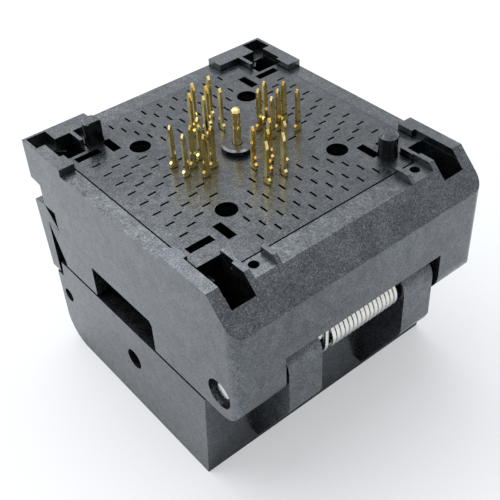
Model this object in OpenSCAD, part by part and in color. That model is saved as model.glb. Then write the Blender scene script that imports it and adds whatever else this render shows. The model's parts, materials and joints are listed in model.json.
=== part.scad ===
// Clamshell test socket for a four-sided leadless package with 24 leads.
// The socket stands on the outer face of its lid with the board side of the base up,
// the way it lies on a bench when it is turned over to show its contact tails.
// +Z runs along the contact tails, +Y from the hinge to the latch, +X along the hinge shaft.

/* [Envelope] */
// Width across the side walls
body_w = 22.8; // [22.4:0.1:24]
// Length from the hinge face to the outer face of the latch
total_l = 25; // [24.8:0.1:26]
// Height of the four seating pads above the floor
pad_z = 19.8; // [19.6:0.1:20.4]
// Height of the parting gap between lid and base
parting_z = 9.15; // [9.1:0.05:9.3]

/* [Contact field] */
// Lead pitch of the package
lead_pitch = 0.5; // [0.4:0.05:0.5]
// Distance between neighbouring slot rows
row_step = 1; // [0.95:0.01:1.02]
// Radial place of the innermost slot row
first_row = 2.75; // [2.7:0.05:2.8]
// Length of one lattice slot
slot_l = 0.7; // [0.6:0.05:0.75]
// Width of one lattice slot
slot_w = 0.17; // [0.16:0.01:0.2]
// Width of a contact tail along its row
tail_w = 0.34; // [0.3:0.02:0.4]
// Thickness of a contact tail
tail_t = 0.22; // [0.18:0.02:0.26]
// Length of a contact tail above the plate
tail_l = 3.45; // [3:0.05:4.5]
// Diameter of the ground pin in the centre
ground_d = 0.68; // [0.6:0.02:0.8]
// Length of the ground pin above the plate
ground_l = 3.35; // [3:0.05:4]

/* [Plate] */
// Thickness of the slotted plate
plate_t = 1.3; // [1.1:0.1:1.5]
// Half width of the plate
plate_half_w = 10.05; // [10:0.01:10.06]
// Diameter of the four round holes
plate_hole_d = 1.6; // [1.4:0.05:1.8]
// Distance of the round holes from the centre lines
plate_hole_at = 5.08; // [5:0.01:5.15]
// Diameter of the two guide posts
post_d = 1.4; // [1.3:0.05:1.5]
// Height of the guide posts above the plate
post_h = 1.9; // [1.6:0.1:2.4]

/* [Hinge] */
// Diameter of the hinge shaft
shaft_d = 1.5; // [1.4:0.05:1.6]
// Wire diameter of the hinge spring
hinge_wire_d = 0.4; // [0.35:0.01:0.4]
// Turns of the hinge spring
hinge_turns = 17; // [10:1:17]
// Half width of the opening between the hinge lugs
lug_gap_half = 7.4; // [7.3:0.05:7.5]
// Inner and outer half width of the two lid arms
arm_inner = 4.0; // [4:0.05:4.1]
arm_outer = 7.0; // [6.9:0.05:7.05]

/* [Latch] */
// Half width of the latch body that hangs between the lid ears
latch_half_w = 7.2; // [6.5:0.1:7.2]
// Diameter of the latch pin
latch_pin_d = 1.2; // [1.1:0.05:1.3]

/* [Hidden] */
$fn = 48;
eps = 0.01;

plastic = [0.17, 0.18, 0.20];
dark_plastic = [0.12, 0.13, 0.15];
gold = [0.80, 0.62, 0.25];
steel = [0.78, 0.79, 0.80];
spring_steel = [0.72, 0.71, 0.68];

half_w = body_w / 2;
hinge_face = -total_l / 2;            // plane of the hinge lugs
latch_face = total_l / 2;             // outer plane of the latch
field_y = hinge_face + 13.5;          // centre of the contact field
rim_z = pad_z - 0.55;                 // frame around the plate
plate_z = pad_z - 0.5;                // board side of the plate
ledge_z = plate_z - plate_t;          // step that the plate lies on
lid_top = parting_z - 0.25;           // parting face of the lid

// Hinge: both halves turn about one line along X
hinge_y = hinge_face + 2.05;
hinge_z = parting_z + 2.05;
lug_r = 2.05;
knuckle_r = 1.85;
window_top = hinge_z + 2.1;           // underside of the band over the arms
window_depth = 2.05;                  // from the hinge line to the inner wall
bore_play = 0.02;                     // radial running clearance
counterbore_d = 2.3;
counterbore_l = 0.5;
shaft_proud = 0.15;                   // shaft end, from the floor of the counterbore
coil_r = 1.35;                        // mean radius of the hinge coil
coil_right = arm_inner - 0.1;         // end of the coil beside the right arm

// Base
base_latch_face = latch_face - 0.25;
bevel = 2.45;                         // rise and run of the bevel over the hinge
corner_r = 0.9;
catch_y = base_latch_face - 2.85;     // wall behind the latch nose
catch_tip = catch_y + 1.5;
catch_z = parting_z + 3.6;
recess_top = parting_z + 5.35;        // ledge over the latch nose
flange_z = parting_z + 7.3;           // underside of the latch side flange
side_window = [-3.9, 3.9];            // along Y, from the field centre
side_window_h = 2.85;
upper_half = 7.6;                     // cavity that holds the carrier
lower_half = 7.0;                     // cavity that the nest floats in
carrier_z = parting_z + 4.2;          // step that carries the carrier

// Plate outline, from the field centre, and the play around it
plate_y = [-9.77, 9.6];
plate_play = 0.08;
notch_x = 7.9;                        // the plate's corners are cut outside this line
notch_latch_y = 7.35;
notch_hinge_y = -8.35;

// Corner pads
pad_l = 5.35;                         // length of a pad along each edge
pad_side_w = 0.95;
pad_step_w = 1.33;                    // the inner part of a side strip is wider
pad_latch_w = 1.65;
pad_hinge_in = hinge_face + 3.6;      // inner end of the small strip over the hinge
pad_hinge_l = 7.25;                   // length of the side strips over the hinge
pocket_x = [8.28, 10.42];             // corner pockets, from the centre line
pocket_latch_y = [base_latch_face - 3.9, base_latch_face - 1.65];
pocket_hinge_y = [hinge_face + 1.3, hinge_face + 5.15];
pocket_step_y = hinge_face + 3.75;
pocket_depth = 6;
recess_x = [6.2, 8.05];               // recess with the small hole, over the hinge
recess_y = [hinge_face + 1.2, hinge_face + 3.9];
small_hole = [7.27, field_y - 10.5];
post_at = [7.18, 8.0];                // guide posts, from the field centre
post_flat = 0.45;                     // from the axis to the flat of the latch side post

// Ground pin
ring_h = 0.45;                        // ring on the plate round the pin
ring_d = 2.4;
ground_shank_r = ground_d / 2 + 0.19; // pressed into the plate

// Nest, carrier and package
nest_z = parting_z + 0.35;
nest_h = 3.1;
nest_half = 6.7;
package_half = 2.1;
tip_r = 1.95;                         // radius at which the contacts meet the leads
tip_z = nest_z + nest_h + 0.05;
pin_r = 0.5;
nest_wire_d = 0.2;
nest_spring_r = 0.85;
nest_spring_z = carrier_z + 2.0;

// Lid
ear_y = latch_face - 2.0;             // wall behind the latch
ear_front = latch_face - 0.95;
ear_z = 7.3;
lid_round = 2.5;
lid_floor = 1.6;
lid_rear_low = hinge_face + 4.5;      // rear face, floor end
lid_rear_high = hinge_face + 3.87;    // rear face, parting end
cavity = [7.1, 6.1];                  // half sizes of the pusher cavity
pusher_half = [6.75, 5.75];
pusher_y = field_y - 0.33;
pusher_z = 5.37;
pusher_pin_d = 1.5;
pusher_hole_d = 1.75;
pusher_top = lid_top - 0.7;
pusher_low = 3.9;
latch_y = latch_face - 2.1;
latch_z = 5.25;
latch_slot_y = ear_front - 3.0;
latch_spring_z = 2.7;
latch_spring_y = [latch_slot_y - 1.1, latch_slot_y + 1.6];
small_wire_d = 0.22;
small_spring_r = 0.75;

// ---------- shared shapes ----------

// Extrudes a profile drawn in Y and Z along X, from x0 to x1
module along_x(x0, x1) {
    translate([x0, 0, 0]) rotate([90, 0, 90]) linear_extrude(x1 - x0) children();
}

// A cylinder along X between two stations
module rod_x(x0, x1, y, z, d) {
    translate([x0, y, z]) rotate([0, 90, 0]) cylinder(d = d, h = x1 - x0);
}

// A block given by its lowest and highest corner
module block(low, high) {
    translate(low) cube(high - low);
}

// Copies to both sides of the YZ plane
module both_sides() {
    children();
    mirror([1, 0, 0]) children();
}

// Copies to the four corners of a rectangle
module at_corners(dx, dy) {
    for (sx = [-1, 1], sy = [-1, 1]) translate([sx * dx, sy * dy, 0]) children();
}

// Points of a circular arc from angle a to angle b
function arc(c, r, a, b, n = 12) =
    [for (i = [0 : n]) c + r * [cos(a + (b - a) * i / n), sin(a + (b - a) * i / n)]];

// Sweeps a round wire along a path that never runs parallel to the axis given
function unit(v) = v / norm(v);
module wire(points, d, axis, sides = 6) {
    n = len(points);
    function heading(i) = unit(points[min(i + 1, n - 1)] - points[max(i - 1, 0)]);
    rings = [for (i = [0 : n - 1], k = [0 : sides - 1])
        let (s = unit(cross(heading(i), axis)), u = cross(s, heading(i)), a = 360 * k / sides)
        points[i] + d / 2 * (cos(a) * s + sin(a) * u)];
    walls = [for (i = [0 : n - 2], k = [0 : sides - 1])
        let (a = i * sides + k, b = i * sides + (k + 1) % sides) [a, a + sides, b + sides, b]];
    ends = [[for (k = [0 : sides - 1]) k],
            [for (k = [sides - 1 : -1 : 0]) (n - 1) * sides + k]];
    polyhedron(rings, concat(walls, ends), convexity = 8);
}

// Compression spring that stands on the XY plane, closed and level at both ends
module compression_spring(h, r, d, turns) {
    steps = 10;
    n = turns * steps;
    wire([for (i = [0 : n])
        let (t = i / n, rise = min(1, max(0, (t * turns - 0.75) / (turns - 1.5))))
        [r * cos(360 * i / steps), r * sin(360 * i / steps),
         d / 2 + rise * (h - d) + (t - rise) * d * 0.2]], d, [0, 0, 1], 6);
}

// ---------- lid ----------

// Side outline of the lid
module lid_outline() {
    polygon(concat([[lid_rear_low, 0]],
                   arc([ear_front - lid_round, lid_round], lid_round, -90, 0),
                   [[ear_front, ear_z], [ear_y + 0.1, ear_z], [ear_y - 0.1, lid_top],
                    [lid_rear_high, lid_top]]));
}

// Side outline of one lid arm, with the round knuckle on the hinge line
module arm_outline() {
    front = hinge_y - knuckle_r;
    union() {
        translate([hinge_y, hinge_z]) circle(knuckle_r);
        polygon([[lid_rear_low + 0.5, 1.2], [lid_rear_low - 0.55, 1.2],
                 [front + 0.25, 7], [front, 7.6], [front, hinge_z],
                 [hinge_y + knuckle_r, hinge_z], [hinge_y + knuckle_r, lid_top],
                 [lid_rear_low + 0.5, lid_top]]);
    }
}

module lid_cover() color(plastic) difference() {
    union() {
        along_x(-half_w, half_w) lid_outline();
        for (x = [-arm_outer, arm_inner]) along_x(x, x + arm_outer - arm_inner) arm_outline();
    }
    // cavity for the pusher, with a spring pocket under each corner of it
    block([-cavity[0], field_y - cavity[1], lid_floor], [cavity[0], field_y + cavity[1], 10]);
    translate([0, pusher_y, 1]) at_corners(4.2, 3.4) cylinder(r = 1.1, h = lid_floor);
    // slot between the ears for the latch body
    block([-latch_half_w - 0.15, latch_slot_y, 1], [latch_half_w + 0.15, latch_face, 10]);
    both_sides() translate([4.5, latch_slot_y + 0.1, latch_spring_z])
        rotate([90, 0, 0]) cylinder(r = 1.0, h = latch_slot_y + 0.1 - latch_spring_y[0]);
    rod_x(-half_w - 1, half_w + 1, pusher_y, pusher_z, pusher_hole_d);
    rod_x(-half_w - 1, half_w + 1, latch_y, latch_z, latch_pin_d + 0.04);
    rod_x(-arm_outer - 1, arm_outer + 1, hinge_y, hinge_z, shaft_d + 2 * bore_play);
    // notch that takes the lid leg of the hinge spring
    block([coil_right - hinge_wire_d - 0.1, lid_rear_low - 1, 7.1],
          [coil_right + 0.05, lid_rear_low + 0.5, lid_top + 1]);
    // shallow mould recess in the outer face
    block([-8, field_y - 5.5, -1], [8, field_y + 5.5, 0.3]);
}

module pusher_outline() {
    polygon([[-pusher_half[1] + 0.6, pusher_low], [pusher_half[1] - 0.6, pusher_low],
             [pusher_half[1], pusher_low + 0.6], [pusher_half[1], pusher_top],
             [-pusher_half[1], pusher_top], [-pusher_half[1], pusher_low + 0.6]]);
}

module pusher() color(dark_plastic) difference() {
    tip_half = package_half - 0.3;
    tip_top = nest_z + 0.55;
    union() {
        translate([0, field_y, 0]) along_x(-pusher_half[0], pusher_half[0]) pusher_outline();
        // stepped boss that presses on the package
        block([-3.4, field_y - 3.4, pusher_top - eps], [3.4, field_y + 3.4, lid_top - 0.25]);
        block([-tip_half, field_y - tip_half, lid_top - 0.5],
              [tip_half, field_y + tip_half, tip_top]);
    }
    rod_x(-half_w, half_w, pusher_y, pusher_z, pusher_pin_d + 2 * bore_play);
    // relief cross in the pressing face
    block([-0.4, field_y - 3, tip_top - 0.3], [0.4, field_y + 3, tip_top + 1]);
}

module pusher_pin() color(steel) rod_x(-9, 9, pusher_y, pusher_z, pusher_pin_d);

module pusher_springs() color(spring_steel)
    translate([0, pusher_y, 1]) at_corners(4.2, 3.4)
        compression_spring(pusher_low - 1, small_spring_r, small_wire_d, 4);

// ---------- latch ----------

module latch_hook_outline() {
    polygon([[latch_face - 0.35, ear_z + 0.3], [latch_face, parting_z + 5.05],
             [catch_tip + 0.05, parting_z + 5.35], [catch_y + 0.1, catch_z + 0.25],
             [catch_y + 0.1, catch_z + 0.05], [catch_tip + 0.05, catch_z + 0.05],
             [catch_tip + 0.05, ear_z + 0.3]]);
}

module latch_body_outline() {
    intersection() {
        polygon([[ear_y - 0.9, 1.6], [ear_front, 1.6], [ear_front, ear_z + 0.4],
                 [latch_face - 0.4, ear_z + 0.4], [latch_face - 0.4, ear_z + 1],
                 [ear_y + 0.45, ear_z + 1], [ear_y - 0.9, ear_z - 0.3]]);
        translate([-0.03, 0]) lid_front_outline();
    }
}

// The lid's front outline without its ledge, so that the latch lies flush with it
module lid_front_outline() {
    polygon(concat([[ear_y - 4, 0]],
                   arc([ear_front - lid_round, lid_round], lid_round, -90, 0),
                   [[ear_front, 7.4], [latch_face, 7.5], [latch_face, 20], [ear_y - 4, 20]]));
}

module latch() color(plastic) difference() {
    union() {
        along_x(-half_w, half_w) latch_hook_outline();
        along_x(-latch_half_w, latch_half_w) latch_body_outline();
    }
    rod_x(-half_w, half_w, latch_y, latch_z, latch_pin_d + 2 * bore_play);
    // seats of the latch springs
    both_sides() translate([4.5, latch_slot_y + 1.7, latch_spring_z])
        rotate([90, 0, 0]) cylinder(r = 1.0, h = 1.2);
    // grip grooves across the thumb face
    for (z = [2.6, 3.5, 4.4]) rod_x(-5.5, 5.5, ear_front + 0.15, z, 0.6);
}

module latch_pin() color(steel)
    rod_x(-half_w + 0.5, half_w - 0.5, latch_y, latch_z, latch_pin_d);

module latch_springs() color(spring_steel)
    both_sides() translate([4.5, latch_spring_y[0], latch_spring_z]) rotate([-90, 0, 0])
        compression_spring(latch_slot_y + 1.7 - latch_spring_y[0], small_spring_r, small_wire_d, 5);

// ---------- hinge ----------

module hinge_shaft() color(steel) {
    end = half_w - counterbore_l + shaft_proud;
    translate([0, hinge_y, hinge_z]) rotate([0, 90, 0]) rotate_extrude()
        polygon([[0, -end], [shaft_d / 2 - 0.15, -end], [shaft_d / 2, -end + 0.15],
                 [shaft_d / 2, end - 0.15], [shaft_d / 2 - 0.15, end], [0, end]]);
}

// Point on the hinge coil at a station along X and an angle from +Y toward +Z
function coil_point(x, a) = [x, hinge_y + coil_r * cos(a), hinge_z + coil_r * sin(a)];

// Coil with the leg that rests in the lid; the first turn belongs to the base leg
module hinge_spring() color(spring_steel) {
    steps = 14;
    turns = hinge_turns - 1;
    leave = 230;
    right = coil_right - hinge_wire_d / 2;
    start = leave - 360 * turns;
    path = [for (i = [0 : turns * steps])
        coil_point(right - hinge_wire_d * (1 + 0.01) * (turns - i / steps), start + 360 * i / steps)];
    leg = [right, hinge_y + coil_r * cos(leave), hinge_z + coil_r * sin(leave)]
        + 4.1 * [0, -sin(leave), cos(leave)];
    wire(concat(path, [leg]), hinge_wire_d, [1, 0, 0], 6);
}

// First turn of the same coil and the leg that pushes the base open
module hinge_spring_leg() color(spring_steel) {
    steps = 14;
    x = coil_right - hinge_wire_d * (hinge_turns + 0.75);
    path = [for (i = [0 : steps - 3]) coil_point(x, 180 + 360 * i / steps)];
    wire(concat([coil_point(x, 180) + [0, 0, 4.3]], path), hinge_wire_d, [1, 0, 0], 6);
}

// ---------- base ----------

// Side outline of the base at the height of the frame around the plate
module base_outline() {
    union() {
        polygon([[hinge_y, parting_z], [hinge_y, hinge_z], [hinge_face, hinge_z],
                 [hinge_face, pad_z - bevel], [hinge_face + bevel - (pad_z - rim_z), rim_z],
                 [base_latch_face, rim_z], [base_latch_face, flange_z],
                 [base_latch_face - 1.3, flange_z - 0.1], [base_latch_face - 1.35, recess_top],
                 [catch_y, recess_top], [catch_y, catch_z], [catch_tip, catch_z],
                 [catch_y, parting_z + 0.45], [catch_y, parting_z]]);
        translate([hinge_y, hinge_z]) circle(lug_r);
    }
}

// Side outline of the seating pads, above the frame
module pad_outline() {
    polygon([[hinge_face + bevel - (pad_z - rim_z) - eps, rim_z - eps],
             [base_latch_face, rim_z - eps], [base_latch_face, pad_z],
             [hinge_face + bevel, pad_z]]);
}

// Plan of the base, with round corners on the hinge side
module base_plan() {
    union() {
        translate([-half_w, hinge_face + corner_r])
            square([body_w, base_latch_face - hinge_face - corner_r]);
        translate([-half_w + corner_r, hinge_face])
            square([body_w - 2 * corner_r, corner_r + eps]);
        for (x = [-1, 1])
            translate([x * (half_w - corner_r), hinge_face + corner_r]) circle(corner_r);
    }
}

// A rectangle given by its lowest and highest corner
module rect(low, high) {
    translate(low) square(high - low);
}

// Plan of the slotted plate, with its four corners cut out
module plate_plan() {
    difference() {
        rect([-plate_half_w, field_y + plate_y[0]], [plate_half_w, field_y + plate_y[1]]);
        both_sides() {
            rect([notch_x, field_y + notch_latch_y], [half_w, latch_face]);
            rect([notch_x, hinge_face], [half_w, field_y + notch_hinge_y]);
        }
    }
}

// Plan of the seat that the plate lies in
module seat_plan() {
    difference() {
        rect([-plate_half_w - plate_play, field_y + plate_y[0] - plate_play],
             [plate_half_w + plate_play, field_y + plate_y[1] + plate_play]);
        both_sides() {
            rect([notch_x + plate_play, field_y + notch_latch_y + plate_play], [half_w, latch_face]);
            rect([notch_x + plate_play, hinge_face], [half_w, field_y + notch_hinge_y - plate_play]);
        }
    }
}

// Plan of the four seating pads: side strips with a step, strip over the latch with its finger,
// and the small strips round the recess over the hinge
module pad_plan() {
    latch_in = base_latch_face - pad_latch_w;
    both_sides() {
        rect([half_w - pad_side_w, base_latch_face - pad_l], [half_w, base_latch_face]);
        rect([half_w - pad_step_w, base_latch_face - pad_l], [half_w, pocket_latch_y[0]]);
        rect([half_w - pad_l, latch_in], [half_w, base_latch_face]);
        rect([notch_x - 0.1, latch_in - 1.45], [pocket_x[0], latch_in + eps]);
        rect([half_w - pad_side_w, hinge_face], [half_w, hinge_face + pad_hinge_l]);
        rect([half_w - pad_step_w, pocket_hinge_y[1] + 0.8], [half_w, hinge_face + pad_hinge_l]);
        rect([recess_x[0] - 0.35, hinge_face], [pocket_x[1], pad_hinge_in]);
        rect([notch_x + plate_play, hinge_face], [pocket_x[0], pocket_hinge_y[1] - 0.1]);
    }
}

module base_housing() color(plastic) difference() {
    union() {
        intersection() {
            along_x(-half_w, half_w) base_outline();
            linear_extrude(40) base_plan();
        }
        intersection() {
            along_x(-half_w, half_w) pad_outline();
            linear_extrude(40) intersection() { base_plan(); pad_plan(); }
        }
    }
    // seat of the plate, cavity of the carrier and cavity of the nest
    translate([0, 0, ledge_z]) linear_extrude(10) seat_plan();
    translate([0, field_y, 0]) {
        block([-upper_half, -upper_half, carrier_z], [upper_half, upper_half, ledge_z + 1]);
        block([-lower_half, -lower_half, 0], [lower_half, lower_half, ledge_z + 1]);
        hook_slots(ledge_z - 3, ledge_z + 1);
    }
    // window for the lid arms and the coil
    block([-lug_gap_half, hinge_face - 1, parting_z - 1],
          [lug_gap_half, hinge_y + window_depth, window_top]);
    // slot that the base leg of the hinge spring pushes in
    block([-4.2, hinge_y - coil_r - 0.3, window_top - 1],
          [-3.0, hinge_y - coil_r + 0.45, window_top + 2.6]);
    // windows in the side walls, with one corner cut
    both_sides() along_x(lower_half - 1, half_w + 1) polygon([
        [field_y + side_window[0], parting_z - 1], [field_y + side_window[1], parting_z - 1],
        [field_y + side_window[1], parting_z + side_window_h],
        [field_y + side_window[0] + 0.3, parting_z + side_window_h],
        [field_y + side_window[0], parting_z + side_window_h - 0.35]]);
    // shaft bore and counterbores in the lugs
    rod_x(-half_w - 1, half_w + 1, hinge_y, hinge_z, shaft_d + 2 * bore_play);
    both_sides() rod_x(half_w - counterbore_l, half_w + 1, hinge_y, hinge_z, counterbore_d);
    both_sides() corner_pockets();
}

// Openings in the pads on the +X side
module corner_pockets() {
    deep = pad_z - pocket_depth;
    latch_out = base_latch_face - 0.2;
    difference() {
        union() {
            // latch side: deep pocket, and a shallow recess that runs into it at the corner
            block([pocket_x[0], pocket_latch_y[0], deep], [pocket_x[1], pocket_latch_y[1], pad_z + 1]);
            block([half_w - 1.85, base_latch_face - 1.8, rim_z - 0.35],
                  [half_w - 0.25, latch_out, pad_z + 1]);
            // hinge side: pocket that breaks out through the bevel, narrower at that end
            block([pocket_x[0], pocket_step_y, deep], [pocket_x[1], pocket_hinge_y[1], pad_z + 1]);
            block([pocket_x[0] + 0.22, pocket_hinge_y[0], deep],
                  [pocket_x[1], pocket_step_y + eps, pad_z + 1]);
        }
        // snap hook that reaches into the hinge side pocket
        translate([pocket_x[1] + eps, pocket_hinge_y[1] + eps, rim_z - 1]) rotate([90, 0, 0])
            linear_extrude(0.75) polygon([[0, 0], [-1.15, 0], [-1.15, -0.5], [0, -1.8]]);
        // barb between the recess and the pocket on the latch side
        translate([half_w - 1.9, base_latch_face - 1.75, deep]) rotate(45)
            translate([-0.6, -0.15, 0]) cube([1, 0.3, pocket_depth - 1]);
    }
    // hinge side: recess with a small hole
    block([recess_x[0], recess_y[0], rim_z + 0.05], [recess_x[1], recess_y[1], pad_z + 1]);
    translate([small_hole[0], small_hole[1], rim_z - 2]) cylinder(d = 0.75, h = 4);
}

// ---------- contact field ----------

// Slot rows: distance from the centre in row steps, sideways start in lead pitches, reach
ROWS = [[0, 1.5, 0.8], [1, 2.5, 1.8], [2, 0.5, 3.3], [3, 1.5, 3.8], [4, 2.5, 4.8],
        [5, 0.5, 4.8], [6, 1.5, 5.3]];

// Copies one quarter of the field to all four sides
module on_four_sides() {
    for (a = [0 : 90 : 270]) translate([0, field_y, 0]) rotate(a) children();
}

module slot_rows() {
    for (row = ROWS, i = [-5 : 5]) {
        x = first_row + row[0] * row_step;
        y = (row[1] + 3 * i) * lead_pitch;
        if (abs(y) < row[2] + 0.01) translate([x - slot_l / 2, y - slot_w / 2])
            square([slot_l, slot_w]);
    }
}

// Hook slots beside each corner, from the field centre
module hook_slots(z0, z1) {
    for (sx = [-1, 1], sy = [-1, 1]) scale([sx, sy, 1]) {
        block([7.55, 6.4, z0], [9.55, 7.05, z1]);
        block([6.2, 5.85, z0], [6.9, 7.6, z1]);
    }
}

// Round post with a foot that widens a little into the plate and a chamfered top
module guide_post(chamfer) {
    r = post_d / 2;
    rotate_extrude() polygon([[0, -0.5], [r - 0.2, -0.5], [r + 0.04, 0], [r, pad_z - plate_z],
                              [r, post_h - chamfer], [r - chamfer, post_h], [0, post_h]]);
}

module contact_plate() color(plastic) {
    difference() {
        union() {
            difference() {
                translate([0, 0, ledge_z]) linear_extrude(plate_t) plate_plan();
                on_four_sides() translate([0, 0, ledge_z - 1]) linear_extrude(plate_t + 2)
                    slot_rows();
                translate([0, field_y, 0]) {
                    // round holes, each with a funnel for a nest pin
                    at_corners(plate_hole_at, plate_hole_at) {
                        translate([0, 0, plate_z - 0.4]) cylinder(d = plate_hole_d, h = 1);
                        translate([0, 0, ledge_z - eps])
                            cylinder(r1 = pin_r, r2 = plate_hole_d / 2, h = plate_t - 0.4 + 2 * eps);
                    }
                    hook_slots(ledge_z - 1, plate_z + 1);
                }
            }
            // ring around the ground pin
            translate([0, field_y, plate_z - 0.1]) rotate_extrude() polygon([
                [0, 0], [ring_d / 2, 0], [ring_d / 2, ring_h + 0.04],
                [ring_d / 2 - 0.24, ring_h + 0.1], [0, ring_h + 0.1]]);
        }
        // seat of the ground pin
        translate([0, field_y, 0]) rotate_extrude() polygon([
            [0, ledge_z - 1], [ground_shank_r, ledge_z - 1], [ground_shank_r, plate_z - 0.1],
            [ground_d / 2 + 0.03, plate_z + ring_h + eps], [0, plate_z + ring_h + eps]]);
    }
    translate([post_at[0], field_y - post_at[1], plate_z]) guide_post(0.25);
    translate([-post_at[0], field_y + post_at[1], plate_z]) difference() {
        guide_post(0.12);
        translate([-post_d, -post_flat - 1, 0]) cube([2 * post_d, 1, post_h + 1]);
    }
}

// Shape of one contact in the plane that it is stamped in: shoulder, S-bend and tip
function bend(t) = [tip_r + 0.1 + 2.2 * sin(180 * t) * (1 - 0.35 * t),
                    tip_z + t * (ledge_z - 0.55 - tip_z)];
module contact_blade(reach) {
    n = 12;
    w = 0.16;
    top = ledge_z - 0.55;
    spine = [for (i = [0 : n]) bend(i / n)];
    function normal(i) = let (d = unit(spine[min(i + 1, n)] - spine[max(i - 1, 0)])) [-d[1], d[0]];
    left = [for (i = [0 : n]) spine[i] + w * normal(i)];
    right = [for (i = [n : -1 : 0]) spine[i] - w * normal(i)];
    union() {
        polygon(concat(left, right));
        translate([tip_r - 0.2, top - 0.15]) square([reach - tip_r + 0.5, 0.3]);
        translate([reach - 0.3, top - 0.1]) square([0.6, plate_z + 0.15 - top + 0.1]);
    }
}

// One contact: stamped blade below the plate, flat shoulder on the plate and pointed flat tail
module contact(reach) {
    t = 0.14;
    w = tail_w / 2;
    tip = tail_l - 0.1;
    shoulder = [0.33, 0.42];
    translate([0, t / 2, 0]) rotate([90, 0, 0]) linear_extrude(t) contact_blade(reach);
    translate([reach, tail_t / 2, plate_z + 0.1]) rotate([90, 0, 0]) linear_extrude(tail_t) {
        polygon([[-w, 0], [w, 0], [w, tip - 0.58], [0.72 * w, tip - 0.28], [0.16 * w, tip],
                 [-0.16 * w, tip], [-0.72 * w, tip - 0.28], [-w, tip - 0.58]]);
        polygon([[-0.24, -eps], [0.24, -eps], [shoulder[0], 0.12], [shoulder[0], 0.3],
                 [0.2, shoulder[1]], [-0.2, shoulder[1]], [-shoulder[0], 0.3],
                 [-shoulder[0], 0.12]]);
    }
}

module contact_side(angle) color(gold) translate([0, field_y, 0]) rotate(angle)
    for (j = [0 : 5]) translate([0, (j - 2.5) * lead_pitch, 0])
        contact(first_row + [2, 0, 1][j % 3] * row_step);

module contacts_right() contact_side(0);
module contacts_latch_side() contact_side(90);
module contacts_left() contact_side(180);
module contacts_hinge_side() contact_side(270);

// Ground pin: point, shank in the carrier and plate, cone in the ring, and a tail with a domed end
module ground_pin() color(gold) translate([0, field_y, 0]) rotate_extrude() {
    r = ground_d / 2;
    top = plate_z + ground_l;
    polygon([[0, tip_z], [0.35, tip_z], [ground_shank_r - 0.02, tip_z + 0.4],
             [ground_shank_r - 0.02, ledge_z], [ground_shank_r, ledge_z],
             [ground_shank_r, plate_z - 0.1], [r, plate_z + 0.35], [r, top - 0.26],
             [0.9 * r, top - 0.13], [0.66 * r, top - 0.04], [0.3 * r, top], [0, top]]);
}

module contact_carrier() color(dark_plastic) difference() {
    translate([0, field_y, 0])
        block([-upper_half + 0.05, -upper_half + 0.05, carrier_z],
              [upper_half - 0.05, upper_half - 0.05, ledge_z]);
    // comb of contact chambers on each side
    on_four_sides() for (j = [0 : 5])
        translate([1.5, (j - 2.5) * lead_pitch - 0.09, carrier_z - 1]) cube([3.8, 0.18, 10]);
    translate([0, field_y, carrier_z - 1]) cylinder(r = ground_shank_r + 0.05, h = 10);
    translate([0, field_y, 0]) at_corners(plate_hole_at, plate_hole_at) {
        translate([0, 0, carrier_z - 1]) cylinder(r = pin_r, h = 4.5);
        translate([0, 0, carrier_z - 1]) cylinder(r = 1.15, h = nest_spring_z - carrier_z + 1);
    }
}

// ---------- floating nest ----------

module nest_pins() color(steel) translate([0, field_y, 0]) at_corners(plate_hole_at, plate_hole_at)
    rotate_extrude() polygon([[0, nest_z], [0.85, nest_z], [0.85, nest_z + 0.4],
                              [pin_r, nest_z + 0.4], [pin_r, carrier_z + 3.3],
                              [0, carrier_z + 3.5]]);

module nest_springs() color(spring_steel)
    translate([0, field_y, nest_z + nest_h]) at_corners(plate_hole_at, plate_hole_at)
        compression_spring(nest_spring_z - nest_z - nest_h, nest_spring_r, nest_wire_d, 5);

module nest() color(dark_plastic) translate([0, field_y, 0]) difference() {
    top = nest_z + nest_h;
    block([-nest_half, -nest_half, nest_z], [nest_half, nest_half, top]);
    // package pocket with sloping lead-in, open to the contact tips
    block([-package_half, -package_half, nest_z - 1], [package_half, package_half, top + 1]);
    for (a = [0 : 90 : 270]) rotate(a) translate([package_half - eps, -package_half - 0.8, nest_z])
        rotate([-90, 0, 0]) linear_extrude(2 * package_half + 1.6)
            polygon([[0, 0.01], [0.8, 0.01], [0, -1.2]]);
    // slots for the contact beams
    for (a = [0 : 90 : 270]) rotate(a) for (j = [0 : 5])
        translate([1, (j - 2.5) * lead_pitch - 0.1, top - 1.4]) cube([3.6, 0.2, 3]);
    at_corners(plate_hole_at, plate_hole_at) {
        cylinder(r = pin_r + 0.03, h = 40);
        translate([0, 0, nest_z - 1]) cylinder(r = 1.0, h = 1.4);
    }
}

lid_cover();
pusher();
pusher_pin();
pusher_springs();
latch();
latch_pin();
latch_springs();
hinge_shaft();
hinge_spring();
hinge_spring_leg();
base_housing();
contact_plate();
contact_carrier();
contacts_left();
contacts_right();
contacts_hinge_side();
contacts_latch_side();
ground_pin();
nest_pins();
nest_springs();
nest();
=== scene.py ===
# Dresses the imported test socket: moulded plastic, gold tails, spring wire, studio light.
import bpy
import json
import math
from mathutils import Matrix, Vector

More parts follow.
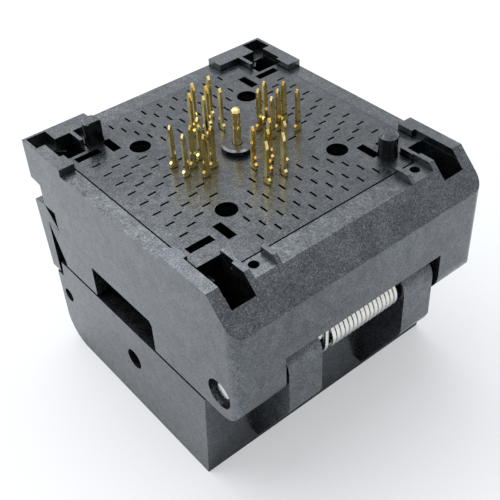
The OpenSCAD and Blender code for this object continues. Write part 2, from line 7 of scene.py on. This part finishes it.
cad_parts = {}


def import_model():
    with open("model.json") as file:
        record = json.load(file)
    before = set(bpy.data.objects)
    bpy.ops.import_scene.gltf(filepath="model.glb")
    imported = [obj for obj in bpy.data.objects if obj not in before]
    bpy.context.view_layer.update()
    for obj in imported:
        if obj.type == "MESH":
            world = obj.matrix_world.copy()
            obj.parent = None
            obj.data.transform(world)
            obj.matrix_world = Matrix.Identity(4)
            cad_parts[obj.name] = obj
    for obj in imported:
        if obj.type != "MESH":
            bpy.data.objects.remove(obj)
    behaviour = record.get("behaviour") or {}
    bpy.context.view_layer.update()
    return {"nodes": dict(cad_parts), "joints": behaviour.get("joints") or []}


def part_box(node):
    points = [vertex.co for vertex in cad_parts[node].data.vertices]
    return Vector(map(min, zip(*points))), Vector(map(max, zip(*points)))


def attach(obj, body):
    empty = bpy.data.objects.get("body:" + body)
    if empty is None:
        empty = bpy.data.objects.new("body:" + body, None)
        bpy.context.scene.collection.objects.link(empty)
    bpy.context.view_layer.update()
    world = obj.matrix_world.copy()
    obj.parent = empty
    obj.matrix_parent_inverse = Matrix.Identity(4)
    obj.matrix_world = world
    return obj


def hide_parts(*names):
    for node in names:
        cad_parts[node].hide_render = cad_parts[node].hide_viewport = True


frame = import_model()
NODES = frame["nodes"]
MM = 0.001


# ---------- camera, light and floor ----------

CAMERA_PLACE_MM = Vector((-31.7665, -41.0135, 54.926))
CAMERA_AHEAD = Vector((0.46204, 0.59982, -0.65325))
CAMERA_ROLL = math.radians(-3.27)
LAMP_TARGET = Vector((0, 0, 0.01))

BACKDROP = (0.955, 0.967, 0.985, 1)   # what the camera, glass and metal see around the object
SKY = (0.90, 0.95, 1.0, 1)            # what lights the object from all sides
SKY_STRENGTH = 0.70
PAPER = (0.86, 0.865, 0.875, 1)
PAPER_GLOW = (0.90, 0.905, 0.915, 1)
GLOW_SHARE = 0.45                     # lightens the shadow on the paper, for the camera only


def camera():
    """The photo's camera: on the hinge side, to the left and above."""
    data = bpy.data.cameras.new("camera")
    data.lens = 62.72
    data.sensor_width = 36
    data.clip_start, data.clip_end = 0.001, 5
    cam = bpy.data.objects.new("camera", data)
    bpy.context.scene.collection.objects.link(cam)
    ahead = CAMERA_AHEAD.normalized()
    level = ahead.cross(Vector((0, 0, 1))).normalized()
    painted_tops_and_walls = level.cross(ahead)
    right = level * math.cos(CAMERA_ROLL) + painted_tops_and_walls * math.sin(CAMERA_ROLL)
    up = painted_tops_and_walls * math.cos(CAMERA_ROLL) - level * math.sin(CAMERA_ROLL)
    turn = Matrix((right, up, -ahead)).transposed().to_4x4()
    cam.matrix_world = Matrix.Translation(CAMERA_PLACE_MM * MM) @ turn
    bpy.context.scene.camera = cam


def lamp(name, place, size, power, colour):
    """A round soft box that looks at the middle of the socket."""
    data = bpy.data.lights.new(name, "AREA")
    data.shape = "DISK"
    data.size = size
    data.energy = power
    data.color = colour
    o = bpy.data.objects.new(name, data)
    bpy.context.scene.collection.objects.link(o)
    place = Vector(place)
    o.location = place
    o.rotation_mode = "QUATERNION"
    o.rotation_quaternion = (LAMP_TARGET - place).to_track_quat("-Z", "Y")


def world():
    """A pale backdrop for the camera and for reflections, and a soft sky that lights the object."""
    w = bpy.data.worlds.new("studio")
    bpy.context.scene.world = w
    w.use_nodes = True
    t = w.node_tree
    t.nodes.clear()
    path = t.nodes.new("ShaderNodeLightPath")
    direct = t.nodes.new("ShaderNodeMath")
    seen = t.nodes.new("ShaderNodeMath")
    direct.operation = seen.operation = "MAXIMUM"
    t.links.new(path.outputs["Is Camera Ray"], direct.inputs[0])
    t.links.new(path.outputs["Is Transmission Ray"], direct.inputs[1])
    t.links.new(direct.outputs[0], seen.inputs[0])
    t.links.new(path.outputs["Is Glossy Ray"], seen.inputs[1])
    sky = t.nodes.new("ShaderNodeBackground")
    sky.inputs["Color"].default_value = SKY
    sky.inputs["Strength"].default_value = SKY_STRENGTH
    backdrop = t.nodes.new("ShaderNodeBackground")
    backdrop.inputs["Color"].default_value = BACKDROP
    backdrop.inputs["Strength"].default_value = 1.0
    mix = t.nodes.new("ShaderNodeMixShader")
    out = t.nodes.new("ShaderNodeOutputWorld")
    t.links.new(seen.outputs[0], mix.inputs[0])
    t.links.new(sky.outputs[0], mix.inputs[1])
    t.links.new(backdrop.outputs[0], mix.inputs[2])
    t.links.new(mix.outputs[0], out.inputs[0])


def floor():
    """White paper that keeps the object's shadow."""
    mesh = bpy.data.meshes.new("floor")
    half = 0.6
    corners = [(-half, -half, 0), (half, -half, 0), (half, half, 0), (-half, half, 0)]
    mesh.from_pydata(corners, [], [(0, 1, 2, 3)])
    o = bpy.data.objects.new("floor", mesh)
    bpy.context.scene.collection.objects.link(o)
    m = bpy.data.materials.new("floor_paper")
    m.use_nodes = True
    t = m.node_tree
    paper = t.nodes["Principled BSDF"]
    paper.inputs["Base Color"].default_value = PAPER
    paper.inputs["Roughness"].default_value = 0.7
    glow = t.nodes.new("ShaderNodeEmission")
    glow.inputs["Color"].default_value = PAPER_GLOW
    glow.inputs["Strength"].default_value = 1.0
    path = t.nodes.new("ShaderNodeLightPath")
    share = t.nodes.new("ShaderNodeMath")
    share.operation = "MULTIPLY"
    share.inputs[1].default_value = GLOW_SHARE
    mix = t.nodes.new("ShaderNodeMixShader")
    t.links.new(path.outputs["Is Camera Ray"], share.inputs[0])
    t.links.new(share.outputs[0], mix.inputs[0])
    t.links.new(paper.outputs[0], mix.inputs[1])
    t.links.new(glow.outputs[0], mix.inputs[2])
    t.links.new(mix.outputs[0], t.nodes["Material Output"].inputs["Surface"])
    mesh.materials.append(m)


# ---------- materials ----------

class Shader:
    """A material whose nodes are added one by one."""

    def __init__(self, name):
        self.m = bpy.data.materials.new(name)
        self.m.use_nodes = True
        self.t = self.m.node_tree
        self.b = self.t.nodes["Principled BSDF"]
        spot = self.t.nodes.new("ShaderNodeTexCoord")
        self.place, self.normal = spot.outputs["Object"], spot.outputs["Normal"]

    def link(self, a, b):
        self.t.links.new(a, b)

    def noise(self, size_mm, detail, roughness, warp=0.0):
        n = self.t.nodes.new("ShaderNodeTexNoise")
        n.inputs["Scale"].default_value = 1 / (size_mm * MM)
        n.inputs["Detail"].default_value = detail
        n.inputs["Roughness"].default_value = roughness
        n.inputs["Distortion"].default_value = warp
        self.link(self.place, n.inputs["Vector"])
        return n.outputs["Fac"]

    def facing(self, direction):
        """How squarely the surface faces a direction of its own object."""
        n = self.t.nodes.new("ShaderNodeVectorMath")
        n.operation = "DOT_PRODUCT"
        n.inputs[1].default_value = direction
        self.link(self.normal, n.inputs[0])
        return n.outputs["Value"]

    def crevice(self, reach_mm):
        """Open to the room (1) or shut in by nearby walls (0)."""
        n = self.t.nodes.new("ShaderNodeAmbientOcclusion")
        n.samples = 8
        n.inputs["Distance"].default_value = reach_mm * MM
        return n.outputs["AO"]

    def ramp(self, value, *stops):
        """Turns a value from 0 to 1 into the colours or greys of its stops."""
        n = self.t.nodes.new("ShaderNodeValToRGB")
        e = n.color_ramp.elements
        while len(e) < len(stops):
            e.new(0.5)
        for k, (at, c) in enumerate(stops):
            e[k].position = at
            e[k].color = (*c, 1) if isinstance(c, tuple) else (c, c, c, 1)
        self.link(value, n.inputs["Fac"])
        return n.outputs["Color"]

    def mix(self, kind, amount, a, b):
        """Mixes two colours; each input is a socket, a colour or a number."""
        n = self.t.nodes.new("ShaderNodeMix")
        n.data_type = "RGBA"
        n.blend_type = kind
        for socket, v in ((n.inputs[0], amount), (n.inputs[6], a), (n.inputs[7], b)):
            if isinstance(v, bpy.types.NodeSocket):
                self.link(v, socket)
            elif isinstance(v, tuple):
                socket.default_value = (*v, 1)
            else:
                socket.default_value = v
        return n.outputs[2]

    def bump(self, height, strength, depth_mm):
        n = self.t.nodes.new("ShaderNodeBump")
        n.inputs["Strength"].default_value = strength
        n.inputs["Distance"].default_value = depth_mm * MM
        self.link(height, n.inputs["Height"])
        self.link(n.outputs["Normal"], self.b.inputs["Normal"])


HINGE_BEVEL = (0, -0.7071, 0.7071)    # the way that the base's bevel over the hinge faces


def plastic(name, colour, ior=1.97, rough=(0.20, 0.34), grain=1.0, wall_shade=1.0, etch_and_top_light=0.0):
    """Black glass filled moulding: a satin skin with cloudy flow marks, glass specks and small pits.

    Colour and sheen carry painted shade, darker in crevices and recesses, and walls are dimmed to a
    given share. A further setting etches the bevel over the hinge, so it sparkles, and paints a little
    light on flat tops.
    """
    s = Shader(name)
    s.b.inputs["IOR"].default_value = ior
    s.b.inputs["Specular Tint"].default_value = (0.85, 0.925, 1.0, 1)

    # painted shade: colour and sheen are darkened in crevices and recesses, where shade falls
    painted_shade = s.ramp(s.crevice(5.0), (0.20, 0.40), (0.55, 0.58), (0.80, 1.0))
    # painted light and shade by facing: walls are dimmed, and flat tops of the shell a little lightened
    painted_tops_and_walls = s.ramp(s.facing((0, 0, 1)),
                     (0.30, wall_shade), (0.72, 1.0), (0.95, 1.0), (0.98, 1.0 + 0.14 * etch_and_top_light))
    painted_shade = s.mix("MULTIPLY", 1.0, painted_shade, painted_tops_and_walls)

    dark = tuple(c * 0.5 for c in colour)
    light = tuple(c * 2.0 for c in colour)
    cloud = s.ramp(s.noise(0.8, 5, 0.68, 0.8), (0.36, dark), (0.52, colour), (0.70, light))
    speck = s.ramp(s.noise(0.11, 3, 0.6), (0.60, 0.0), (0.80, 1.0))
    tone = s.mix("ADD", 0.035 * grain, cloud, speck)
    # the tone is darkened by the painted shade
    s.link(s.mix("MULTIPLY", 1.0, tone, painted_shade), s.b.inputs["Base Color"])

    patch = s.ramp(s.noise(0.6, 5, 0.68, 0.6), (0.34, rough[0]), (0.66, rough[1]))
    fine = s.ramp(s.noise(0.15, 2, 0.5), (0.35, 0.75), (0.65, 1.25))
    s.link(s.mix("MULTIPLY", 0.8, patch, fine), s.b.inputs["Roughness"])

    sheen = s.ramp(s.noise(0.55, 6, 0.78, 0.5),
                   (0.34, 0.5 - 0.12 * grain), (0.66, 0.5 + 0.14 * grain))
    frost = s.ramp(s.noise(0.12, 4, 0.65), (0.34, 0.46), (0.50, 1.0), (0.68, 1.82))
    flow = s.ramp(s.noise(2.8, 3, 0.6, 1.0), (0.36, 0.84), (0.64, 1.16))
    glint = s.mix("MULTIPLY", 1.0, s.mix("MULTIPLY", 0.9 * grain, sheen, frost), flow)
    if etch_and_top_light:
        bevel_face = s.ramp(s.facing(HINGE_BEVEL), (0.92, 0.0), (0.96, 1.0))
        spark = s.ramp(s.noise(0.075, 3, 0.6), (0.42, 0.60), (0.56, 1.0), (0.72, 2.1))
        coarse = s.mix("MULTIPLY", 1.0, glint, spark)
        glint = s.mix("MIX", bevel_face, glint, coarse)
    # the sheen is dimmed by the same painted shade
    s.link(s.mix("MULTIPLY", 1.0, glint, painted_shade), s.b.inputs["Specular IOR Level"])

    skin = s.mix("MIX", 0.35, s.noise(0.13, 3, 0.6), s.noise(0.40, 3, 0.6))
    s.bump(skin, 0.30 * grain, 0.014)
    return s.m


def gold(name):
    """Bright gold plate with slow changes of tone."""
    s = Shader(name)
    s.b.inputs["Metallic"].default_value = 1.0
    tone = s.ramp(s.noise(0.9, 2, 0.4),
                  (0.3, (0.78, 0.60, 0.22)), (0.55, (0.90, 0.73, 0.31)), (0.75, (0.98, 0.88, 0.52)))
    s.link(tone, s.b.inputs["Base Color"])
    s.link(s.ramp(s.noise(0.6, 2, 0.4), (0.3, 0.09), (0.7, 0.15)), s.b.inputs["Roughness"])
    s.bump(s.noise(0.5, 2, 0.4), 0.10, 0.006)
    return s.m


def metal(name, colour, rough):
    """Ground or drawn steel."""
    s = Shader(name)
    s.b.inputs["Metallic"].default_value = 1.0
    low = tuple(c * 0.9 for c in colour)
    s.link(s.ramp(s.noise(0.9, 4, 0.6), (0.3, low), (0.7, colour)), s.b.inputs["Base Color"])
    s.link(s.ramp(s.noise(0.3, 3, 0.6), (0.3, rough * 0.8), (0.7, rough * 1.25)),
           s.b.inputs["Roughness"])
    s.bump(s.noise(0.2, 2, 0.5), 0.1, 0.004)
    return s.m


def soften(o, round_mm, segments):
    """Rounds the moulded edges a little and keeps the flat faces flat."""
    b = o.modifiers.new("soft_edges", "BEVEL")
    b.width = round_mm * MM
    b.segments = segments
    b.limit_method = "ANGLE"
    b.angle_limit = math.radians(35)
    b.use_clamp_overlap = True
    w = o.modifiers.new("face_normals", "WEIGHTED_NORMAL")
    w.keep_sharp = True
    w.weight = 80


def dress(node, material, round_mm=0.0, segments=2):
    """Gives a CAD node its material and, where asked, soft edges."""
    o = NODES[node]
    o.data.materials.clear()
    o.data.materials.append(material)
    for p in o.data.polygons:
        p.use_smooth = True
    if round_mm:
        soften(o, round_mm, segments)


# ---------- spring wire ----------

WIRE_R = 0.2                          # radius of the hinge spring's wire in the CAD part
WIRE_SHARE = 0.90                     # the drawn wire is thinner, so that the gaps show
WIRE_SIDES = 12
END_ROUND = ((1.0, 0.5), (0.72, 0.82), (0.35, 0.97))    # distance and radius, in wire radii
SHAFT = Vector((1, 0, 0))


def wire_piece(name, points, radius, material, body, node):
    """A round wire swept along its points, with rounded ends, that stands for a CAD node."""
    rings = []
    last = len(points) - 1
    for i, p in enumerate(points):
        ahead = (points[min(i + 1, last)] - points[max(i - 1, 0)]).normalized()
        side = ahead.cross(SHAFT).normalized()
        rings.append((p, ahead, side, side.cross(ahead), radius))

    def rounded(ring, way):
        p, ahead, side, up, r = ring
        return [(p + way * ahead * r * (1 - back), ahead, side, up, r * share)
                for back, share in END_ROUND]

    rings = rounded(rings[0], 1) + rings[1:-1] + rounded(rings[-1], -1)[::-1]
    verts, faces = [], []
    for p, ahead, side, up, r in rings:
        for k in range(WIRE_SIDES):
            t = 2 * math.pi * k / WIRE_SIDES
            verts.append(tuple((p + (side * math.cos(t) + up * math.sin(t)) * r) * MM))
    for i in range(len(rings) - 1):
        for k in range(WIRE_SIDES):
            a, b = i * WIRE_SIDES + k, i * WIRE_SIDES + (k + 1) % WIRE_SIDES
            faces.append((a, a + WIRE_SIDES, b + WIRE_SIDES, b))
    faces.append(tuple(range(WIRE_SIDES)))
    faces.append(tuple(reversed(range(len(verts) - WIRE_SIDES, len(verts)))))
    mesh = bpy.data.meshes.new(name)
    mesh.from_pydata(verts, [], faces)
    mesh.materials.append(material)
    for p in mesh.polygons:
        p.use_smooth = len(p.vertices) == 4
    o = bpy.data.objects.new(name, mesh)
    bpy.context.scene.collection.objects.link(o)
    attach(o, body)
    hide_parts(node)


def hinge_coils(material):
    """The torsion spring: closed coil with its lid leg, and the first turn with the base leg."""
    joint = next(j for j in frame["joints"] if j["name"] == "base_swing")
    y, z = joint["pos_m"][1] / MM, joint["pos_m"][2] / MM
    low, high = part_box("hinge_spring")
    r = y - low.y / MM - WIRE_R
    right = high.x / MM - WIRE_R
    pitch = 2 * WIRE_R * 1.01
    steps, turns, leave = 40, 16, 230

    def at(x, degrees):
        t = math.radians(degrees)
        return Vector((x, y + r * math.cos(t), z + r * math.sin(t)))

    coil = [at(right - pitch * (turns - i / steps), leave - 360 * (turns - i / steps))
            for i in range(turns * steps + 1)]
    t = math.radians(leave)
    along = Vector((0, -math.sin(t), math.cos(t)))
    leg = [at(right, leave) + along * d for d in (0.15, 1.2, 2.6, 4.09)]
    wire_piece("hinge_spring_coil", coil + leg, WIRE_R * WIRE_SHARE, material, "lid", "hinge_spring")

    low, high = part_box("hinge_spring_leg")
    x = (low.x + high.x) / 2 / MM
    turn = [at(x, 180 + 360 * i / steps) for i in range(int(steps * 11 / 14) + 1)]
    leg = [Vector((x, turn[0].y, h)) for h in (high.z / MM, z + 2.5, z + 1.2, z + 0.3)]
    wire_piece("hinge_spring_base_leg", leg + turn, WIRE_R * WIRE_SHARE, material,
               "base", "hinge_spring_leg")


# ---------- the socket ----------

camera()
world()
floor()
lamp("key", (-0.01, 0.145, 0.37), 0.46, 1.42, (0.985, 0.99, 1.0))
lamp("side", (-0.28, 0.26, 0.20), 0.22, 0.26, (0.95, 0.975, 1.0))

# the shell's flat tops get painted light; the plate's walls get painted shade
SHELL = plastic("moulded_plastic", (0.0115, 0.0125, 0.0145), etch_and_top_light=1.0)
PLATE = plastic("plate_plastic", (0.0085, 0.0095, 0.011), 1.88, (0.18, 0.31), wall_shade=0.42)
INNER = plastic("inner_plastic", (0.006, 0.0065, 0.007), 1.6, (0.42, 0.55), grain=0.6)
GOLD = gold("gold_plate")
STEEL = metal("ground_steel", (0.75, 0.755, 0.76), 0.2)
WIRE = metal("spring_wire", (0.73, 0.72, 0.68), 0.22)

for n in ("lid_cover", "latch", "base_housing"):
    dress(n, SHELL, 0.05)
dress("contact_plate", PLATE, 0.025, 1)
for n in ("pusher", "contact_carrier", "nest"):
    dress(n, INNER, 0.04, 1)
for n in ("contacts_left", "contacts_right", "contacts_hinge_side", "contacts_latch_side", "ground_pin"):
    dress(n, GOLD)
for n in ("pusher_pin", "latch_pin", "hinge_shaft", "nest_pins"):
    dress(n, STEEL)
for n in ("pusher_springs", "latch_springs", "nest_springs"):
    dress(n, WIRE)
hinge_coils(WIRE)

bpy.context.scene.view_settings.view_transform = "Standard"
